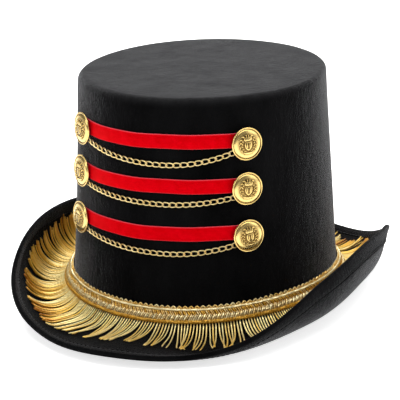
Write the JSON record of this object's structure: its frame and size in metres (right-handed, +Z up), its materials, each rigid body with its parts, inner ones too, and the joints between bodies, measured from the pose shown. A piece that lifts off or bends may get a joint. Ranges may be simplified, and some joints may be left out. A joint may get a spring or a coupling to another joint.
{
  "type": "ringmaster hat",
  "caption": "Black velour ringmaster top hat with a brim rolled up at the sides, red velvet ribbons, domed gold buttons, gold chain swags and a gold fringe round the crown.",
  "frame": {"origin": "on the surface that the brim rests on, under the middle of the hat, on the crown's upright axis", "axes": "+Z up through the crown, -Y towards the front where the ribbons are, +Y towards the back, +X towards the hat's side that is on the right when it is seen from the front"},
  "size_m": [0.2504, 0.3255, 0.165],
  "materials": {
    "velour": "black brushed velour, dull, with a soft grey sheen at grazing angles",
    "velour_binding": "black velour strip folded over the rim and stitched",
    "sweatband": "thin black imitation leather with a stitched edge",
    "gold_fringe": "twisted metallic gold thread",
    "gold_braid": "woven metallic gold braid",
    "red_velvet": "bright red velvet ribbon with narrow satin edges",
    "gold_button": "bright gold plated, domed and stamped",
    "gold_chain": "pale gold plated curb links"
  },
  "bodies": {
    "root": {"crown": "velour", "crown_tip": "velour", "sweatband": "sweatband", "brim": "velour", "brim_binding": "velour_binding", "fringe": "gold_fringe", "fringe_braid": "gold_braid", "ribbon_top": "red_velvet", "ribbon_middle": "red_velvet", "ribbon_bottom": "red_velvet", "button_left_top": "gold_button", "button_left_middle": "gold_button", "button_left_bottom": "gold_button", "button_right_top": "gold_button", "button_right_middle": "gold_button", "button_right_bottom": "gold_button", "chain_top": "gold_chain", "chain_middle": "gold_chain", "chain_bottom": "gold_chain"}
  },
  "joints": []
}
